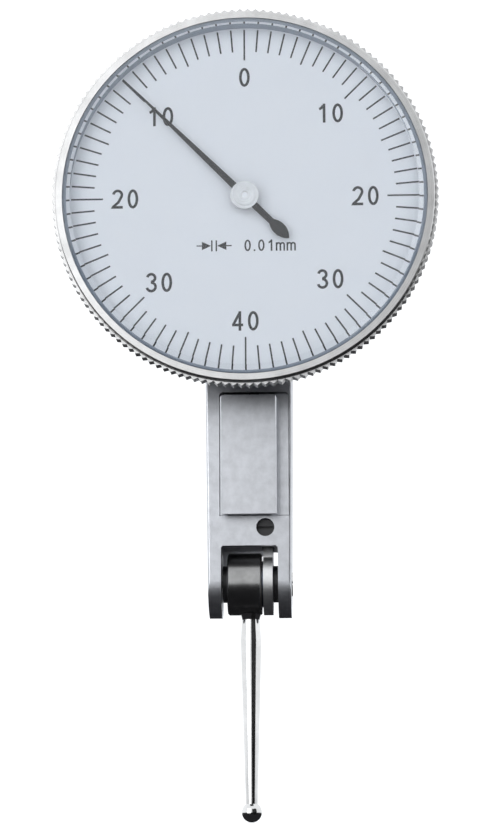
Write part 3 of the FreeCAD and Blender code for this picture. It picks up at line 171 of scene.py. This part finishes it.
def turned(name, low, high, centre, axis, rough=(0.22, 0.36)):
    """Lathe-turned metal: fine rings about an axis."""
    shader = Shader(name)
    tone(shader, low, high, (1.0, 1.0, 1.0), 500.0)
    radius = shader.radius(centre, axis)
    rings = shader.noise(shader.join(radius, 0.0, 0.0), 1.0 / RING_PITCH, 3.0, 0.7)
    shader.put(shader.bsdf.inputs["Roughness"], shader.ramp(rings, 0.3, 0.7, *rough))
    shader.bsdf.inputs["Metallic"].default_value = 1.0
    shader.bump(rings, 0.3, 0.000006)
    return shader.material


def polished(name, low, high, tint=(1.0, 1.0, 1.0), rough=(0.05, 0.14)):
    """Ground and polished steel with faint scuffs."""
    shader = Shader(name)
    tone(shader, low, high, tint, 400.0)
    scuffs = shader.noise(shader.place(), 3500.0, 5.0, 0.7)
    shader.put(shader.bsdf.inputs["Roughness"], shader.ramp(scuffs, 0.3, 0.7, *rough))
    shader.bsdf.inputs["Metallic"].default_value = 1.0
    shader.bump(scuffs, 0.08, 0.000004)
    return shader.material


def painted(name, first, second, rough=(0.4, 0.55), scale=1500.0, coat=0.0, shine=0.5):
    """Thin paint or print with a fine, uneven surface."""
    shader = Shader(name)
    wander = shader.noise(shader.place(), scale, 4.0)
    shader.put(shader.bsdf.inputs["Base Color"], shader.mix(wander, first, second))
    shader.put(shader.bsdf.inputs["Roughness"], shader.ramp(wander, 0.3, 0.7, *rough))
    shader.bsdf.inputs["Coat Weight"].default_value = coat
    shader.bsdf.inputs["Specular IOR Level"].default_value = shine
    shader.bump(wander, 0.1, 0.000005)
    return shader.material


def crystal_material():
    """Clear acrylic."""
    shader = Shader("clear_crystal")
    haze = shader.noise(shader.place(), 600.0, 3.0)
    shader.put(shader.bsdf.inputs["Base Color"], shader.mix(haze, (0.93, 0.96, 1.0, 1), (0.96, 0.98, 1.0, 1)))
    shader.put(shader.bsdf.inputs["Roughness"], shader.ramp(haze, 0.3, 0.7, 0.0, 0.02))
    shader.bsdf.inputs["IOR"].default_value = 1.49
    shader.bsdf.inputs["Specular IOR Level"].default_value = 0.15
    shader.bsdf.inputs["Transmission Weight"].default_value = 1.0
    return shader.material


def wear(node, material):
    """Give a CAD node its material."""
    for place in nodes[node].material_slots:
        place.material = material


PRINT_SHINE = 0.12
STEEL = satin("blasted_chrome", 0.60, 0.70, tint=(0.95, 0.975, 1.03))
BEZEL = turned("turned_chrome", 0.55, 0.66, DIAL, "Y", rough=(0.24, 0.36))
DARK = turned("dark_steel", 0.26, 0.36, PIVOT, "X", rough=(0.20, 0.30))
POLISHED = polished("polished_steel", 0.62, 0.74)
TURNED_X = turned("turned_steel_x", 0.50, 0.62, PIVOT, "X")
TURNED_Y = turned("turned_steel_y", 0.50, 0.62, DIAL, "Y")
LEVER = satin("satin_lever", 0.66, 0.78, grain=12000, strength=0.15)
BRASS = satin("brass", 0.6, 0.75, tint=(1.0, 0.78, 0.42), grain=12000, strength=0.1)
OXIDE = painted("black_oxide", (0.012, 0.012, 0.014, 1), (0.03, 0.03, 0.034, 1), rough=(0.3, 0.42))
BLUED = satin("blued_steel", 0.10, 0.16, tint=(0.7, 0.85, 1.3), grain=12000, strength=0.1)
BLACK = painted("black_paint", (0.008, 0.008, 0.009, 1), (0.016, 0.016, 0.018, 1),
                rough=(0.35, 0.5), shine=PRINT_SHINE)
INK_BLACK = painted("printed_ink", (0.01, 0.01, 0.012, 1), (0.022, 0.022, 0.026, 1),
                    rough=(0.45, 0.6), scale=4000.0, shine=PRINT_SHINE)
DIAL_WHITE = painted("dial_white", (0.86, 0.87, 0.89, 1), (0.88, 0.89, 0.91, 1), rough=(0.45, 0.6))
SPACER = painted("spacer_grey", (0.25, 0.29, 0.35, 1), (0.32, 0.36, 0.42, 1))
RUBY = painted("ruby", (0.35, 0.01, 0.05, 1), (0.5, 0.02, 0.08, 1), rough=(0.05, 0.12), coat=0.5)
CRYSTAL = crystal_material()
BY_SLOT = {"satin_chrome": STEEL, "bezel_metal": BEZEL, "crystal": CRYSTAL, "dial_white": DIAL_WHITE,
           "black_paint": BLACK, "turned_steel": TURNED_X, "dark_steel": DARK, "polished_steel": POLISHED,
           "hard_metal": POLISHED, "lever_steel": LEVER, "black_oxide": OXIDE, "brass": BRASS,
           "spring_steel": BLUED, "jewel": RUBY, "spacer_plastic": SPACER}
for part in frame["record"]["subparts"]:
    wear(part["node"], BY_SLOT[part["material_slot"]])
wear("pointer_hub", TURNED_Y)


# ---- the dial's scale ----
DIVISIONS = 80
MARK_OUTER = 17.15 * MM
MARK_HALF = 0.08 * MM
INK = 0.012 * MM
LONG, MEDIUM, SHORT = 14.0 * MM, 14.55 * MM, 14.88 * MM


def on_dial(radius, angle, across=0.0, up=0.0):
    """Point at an angle clockwise from the top of the dial; up is towards the reader."""
    s, c = math.sin(angle), math.cos(angle)
    return Vector((radius * s + across * c, DIAL_FACE - up, DIAL.z + radius * c - across * s))


def mesh_piece(name, bm, material, body):
    bmesh.ops.recalc_face_normals(bm, faces=bm.faces)
    data = bpy.data.meshes.new(name)
    bm.to_mesh(data)
    bm.free()
    piece = bpy.data.objects.new(name, data)
    bpy.context.scene.collection.objects.link(piece)
    data.materials.append(material)
    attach(piece, body)
    return piece


BAR_FACES = ((0, 1, 2, 3), (7, 6, 5, 4), (0, 4, 5, 1), (1, 5, 6, 2), (2, 6, 7, 3), (3, 7, 4, 0))


def scale_marks():
    bm = bmesh.new()
    for index in range(DIVISIONS):
        inner = LONG if index % 10 == 0 else MEDIUM if index % 5 == 0 else SHORT
        angle = 2 * math.pi * index / DIVISIONS
        outline = ((inner, -MARK_HALF), (MARK_OUTER, -MARK_HALF), (MARK_OUTER, MARK_HALF), (inner, MARK_HALF))
        corners = [on_dial(r, angle, w, up) for up in (0.0, INK) for r, w in outline]
        v = [bm.verts.new(c) for c in corners]
        for face in BAR_FACES:
            bm.faces.new([v[i] for i in face])
    return mesh_piece("dial_marks", bm, INK_BLACK, "bezel")


scale_marks()
# Digits as centre lines: one list of points for each stroke, for a height of 1
# with the foot of the digit at 0 and its middle at x = 0.
STROKE = 0.135


def arc(x, y, wide, tall, start, end, steps=28):
    """Points on an ellipse, degrees from +x, counter-clockwise for a rising angle."""
    turn = [math.radians(start + (end - start) * i / steps) for i in range(steps + 1)]
    return [(x + wide * math.cos(a), y + tall * math.sin(a)) for a in turn]


def glyphs():
    h = STROKE / 2
    zero = arc(0, 0.5, 0.272 - h, 0.5 - h, 90, 450, 56)
    one = [[(0.085, 0), (0.085, 1)], [(0.085 - h, 0.92)] + arc(-0.20, 0.98, 0.235, 0.26, -22, -82, 8)]
    hook = arc(0.0, 0.715, 0.215, 0.285 - h, 172, -28)
    two = hook + [(0.04, 0.33), (-0.215, 0.105), (-0.235, h), (0.262, h)]
    upper = arc(-0.01, 0.735, 0.195, 0.265 - h, 168, -90)
    lower = arc(-0.01, 0.275, 0.222, 0.275 - h + 0.012, 95, -168)
    three = [upper, lower]
    four = [[(0.105, 0), (0.105, 1)], [(0.105, 0.935), (-0.235, 0.30)], [(-0.292, 0.295), (0.27, 0.295)]]
    arch = arc(-0.165, 0.52, 0.155, 0.165, 180, 0, 14)
    second = arc(0.165, 0.52, 0.155, 0.165, 180, 0, 14)
    em = [[(-0.335, 0), (-0.335, 0.73)], [(-0.32, 0.52)] + arch[1:] + [(-0.01, 0)],
          [(0.01, 0.52)] + second[1:] + [(0.32, 0)]]
    return {"0": (0.78, [zero]), "1": (0.78, one), "2": (0.78, [two]), "3": (0.78, three), "4": (0.78, four),
            ".": (0.39, [[(0, 0), (0, STROKE * 1.1)]]), "m": (0.92, em)}


def ribbon(bm, points, half, place):
    """Flat stroke of a constant width along points, lifted by INK from the dial."""
    closed = (Vector(points[0]) - Vector(points[-1])).length < 1e-6
    path = [Vector(p) for p in (points[:-1] if closed else points)]
    count = len(path)
    sides = []
    for i, at in enumerate(path):
        before = path[i - 1] if closed or i else None
        after = path[(i + 1) % count] if closed or i + 1 < count else None
        runs = (at - before if before else None, after - at if after else None)
        ways = [run.normalized() for run in runs if run]
        way = sum(ways, Vector((0, 0))).normalized()
        miter = 1.0 / max(way.dot(ways[0]), 0.45)
        out = Vector((-way.y, way.x)) * half * miter
        sides.append((at + out, at - out))
    rows = [[bm.verts.new(place(p, up)) for up in (0.0, INK) for p in pair] for pair in sides]
    spans = list(zip(rows, rows[1:] + rows[:1])) if closed else list(zip(rows, rows[1:]))
    for a, b in spans:
        for i, j in ((0, 1), (1, 3), (3, 2), (2, 0)):
            bm.faces.new((a[i], a[j], b[j], b[i]))
    if not closed:
        for row in (rows[0], rows[-1]):
            bm.faces.new((row[0], row[1], row[3], row[2]))


def write(bm, words, x, z, height):
    """Words centred on a point of the dial, given from its centre."""
    shapes = glyphs()
    left = -sum(shapes[c][0] for c in words) / 2
    for c in words:
        width, strokes = shapes[c]
        middle = left + width / 2
        for points in strokes:
            def place(p, up, middle=middle):
                across, rise = (middle + p.x) * height, (p.y - 0.5) * height
                return Vector((x + across, DIAL_FACE - up, DIAL.z + z + rise))
            ribbon(bm, points, STROKE / 2, place)
        left += width


NUMBER_HEIGHT = 1.93 * MM
NUMBERS = ((0, 12.25, "0"), (10, 11.95, "10"), (20, 11.85, "20"), (30, 11.75, "30"), (40, 12.4, "40"),
           (50, 11.95, "30"), (60, 11.8, "20"), (70, 11.8, "10"))


def dial_numbers():
    bm = bmesh.new()
    for division, radius, words in NUMBERS:
        at = on_dial(radius * MM, 2 * math.pi * division / DIVISIONS)
        write(bm, words, at.x, at.z - DIAL.z, NUMBER_HEIGHT)
    return mesh_piece("dial_numbers", bm, INK_BLACK, "bezel")


LEGEND_Z = -4.85 * MM
LEGEND_HEIGHT = 1.15 * MM
LEGEND_WORDS_X = 2.42 * MM
# The arrows, in millimetres of the dial: bars, then each arrow beyond its bar.
GAP_BARS = ((1, -3.27), (-1, -2.83))
BAR_HALF_HEIGHT, BAR_HALF, TAIL_HALF = 0.55, 0.07, 0.055
TIP_START, TIP_END, TIP_HALF = 0.08, 0.98, 0.42
TAIL_START, TAIL_END = 0.95, 1.5


def dial_legend():
    """Value of one division between the usual gap arrows."""
    bm = bmesh.new()
    write(bm, "0.01mm", LEGEND_WORDS_X, LEGEND_Z, LEGEND_HEIGHT)

    def place(p, up):
        return Vector((p.x * MM, DIAL_FACE - up, DIAL.z + LEGEND_Z + p.y * MM))

    for side, bar in GAP_BARS:
        ribbon(bm, [(bar, -BAR_HALF_HEIGHT), (bar, BAR_HALF_HEIGHT)], BAR_HALF, place)
        ribbon(bm, [(bar - side * TAIL_START, 0), (bar - side * TAIL_END, 0)], TAIL_HALF, place)
        wide = bar - side * TIP_END
        tip = [(bar - side * TIP_START, 0), (wide, TIP_HALF), (wide, -TIP_HALF)]
        low = [bm.verts.new(place(Vector(c), 0.0)) for c in tip]
        high = [bm.verts.new(place(Vector(c), INK)) for c in tip]
        bm.faces.new(low)
        bm.faces.new(high)
        for i in range(3):
            j = (i + 1) % 3
            bm.faces.new((low[i], low[j], high[j], high[i]))
    return mesh_piece("dial_legend", bm, INK_BLACK, "bezel")


dial_numbers()
dial_legend()


# ---- camera, floor and light ----
EYE = Vector((8.9121, -235.3, -35.6133)) * MM
YAW, PITCH, ROLL = 0.0371, 0.1644, -0.0049
LENS = 103.21


def make_camera():
    data = bpy.data.cameras.new("view")
    data.lens = LENS
    data.clip_start = 0.01
    camera = bpy.data.objects.new("view", data)
    bpy.context.scene.collection.objects.link(camera)
    ahead = Vector((-math.sin(YAW) * math.cos(PITCH), math.cos(YAW) * math.cos(PITCH), math.sin(PITCH)))
    right = ahead.cross(Vector((0, 0, 1))).normalized()
    up = right.cross(ahead)
    turned_right = right * math.cos(ROLL) + up * math.sin(ROLL)
    turned_up = up * math.cos(ROLL) - right * math.sin(ROLL)
    camera.matrix_world = Matrix((
        (turned_right.x, turned_up.x, -ahead.x, EYE.x),
        (turned_right.y, turned_up.y, -ahead.y, EYE.y),
        (turned_right.z, turned_up.z, -ahead.z, EYE.z), (0, 0, 0, 1)))
    bpy.context.scene.camera = camera


def make_floor():
    bm = bmesh.new()
    bmesh.ops.create_grid(bm, x_segments=1, y_segments=1, size=3.0)
    data = bpy.data.meshes.new("floor")
    bm.to_mesh(data)
    bm.free()
    floor = bpy.data.objects.new("floor", data)
    floor.location.z = cad_box[0][2]
    bpy.context.scene.collection.objects.link(floor)
    data.materials.append(painted("floor_pale", (0.86, 0.86, 0.87, 1), (0.88, 0.88, 0.89, 1),
                                  rough=(0.6, 0.8), scale=20.0))
    floor.visible_glossy = False


def make_light(name, azimuth, elevation, distance, wide, tall, power):
    """Soft box round the middle of the object; azimuth is from -Y towards +X, in degrees."""
    data = bpy.data.lights.new(name, "AREA")
    data.energy = power
    data.shape = "RECTANGLE"
    data.size = wide
    data.size_y = tall
    lamp = bpy.data.objects.new(name, data)
    stand(lamp, azimuth, elevation, distance)
    bpy.context.scene.collection.objects.link(lamp)


def stand(thing, azimuth, elevation, distance):
    a, e = math.radians(azimuth), math.radians(elevation)
    out = Vector((math.sin(a) * math.cos(e), -math.cos(a) * math.cos(e), math.sin(e)))
    thing.location = out * distance
    thing.rotation_euler = (-out).to_track_quat("-Z", "Y").to_euler()


def make_flag(name, azimuth, elevation, distance, wide, tall, material):
    """Dark card beside the camera, which only reflections show."""
    bm = bmesh.new()
    bmesh.ops.create_grid(bm, x_segments=1, y_segments=1, size=0.5)
    bmesh.ops.scale(bm, vec=(wide, tall, 1), verts=bm.verts)
    data = bpy.data.meshes.new(name)
    bm.to_mesh(data)
    bm.free()
    card = bpy.data.objects.new(name, data)
    stand(card, azimuth, elevation, distance)
    bpy.context.scene.collection.objects.link(card)
    data.materials.append(material)
    for ray in ("camera", "diffuse", "shadow", "transmission", "volume_scatter"):
        setattr(card, "visible_" + ray, False)


def make_world():
    """Pale all round above the floor; dark below it, where only reflections look."""
    world = bpy.data.worlds.new("studio")
    world.use_nodes = True
    bpy.context.scene.world = world
    tree = world.node_tree
    back = tree.nodes["Background"]
    place = tree.nodes.new("ShaderNodeTexCoord")
    split = tree.nodes.new("ShaderNodeSeparateXYZ")
    rise = tree.nodes.new("ShaderNodeMapRange")
    colour = tree.nodes.new("ShaderNodeMix")
    colour.data_type = "RGBA"
    tree.links.new(place.outputs["Generated"], split.inputs[0])
    tree.links.new(split.outputs["Z"], rise.inputs["Value"])
    rise.inputs["From Min"].default_value = -0.10
    rise.inputs["From Max"].default_value = -0.01
    tree.links.new(rise.outputs["Result"], colour.inputs[0])
    colour.inputs[6].default_value = (0.02, 0.02, 0.022, 1)
    colour.inputs[7].default_value = (0.97, 0.985, 1.0, 1)
    tree.links.new(colour.outputs[2], back.inputs["Color"])
    back.inputs["Strength"].default_value = 1.2


make_camera()
make_floor()
make_world()
bpy.context.scene.view_settings.view_transform = "Standard"
CARD = painted("dark_card", (0.02, 0.02, 0.02, 1), (0.025, 0.025, 0.025, 1), rough=(0.8, 0.9), scale=20.0)
make_light("softbox", -33, 12, 0.6, 0.45, 0.6, 1.5)
make_flag("flag_right", 33, 5, 0.7, 0.75, 0.9, CARD)
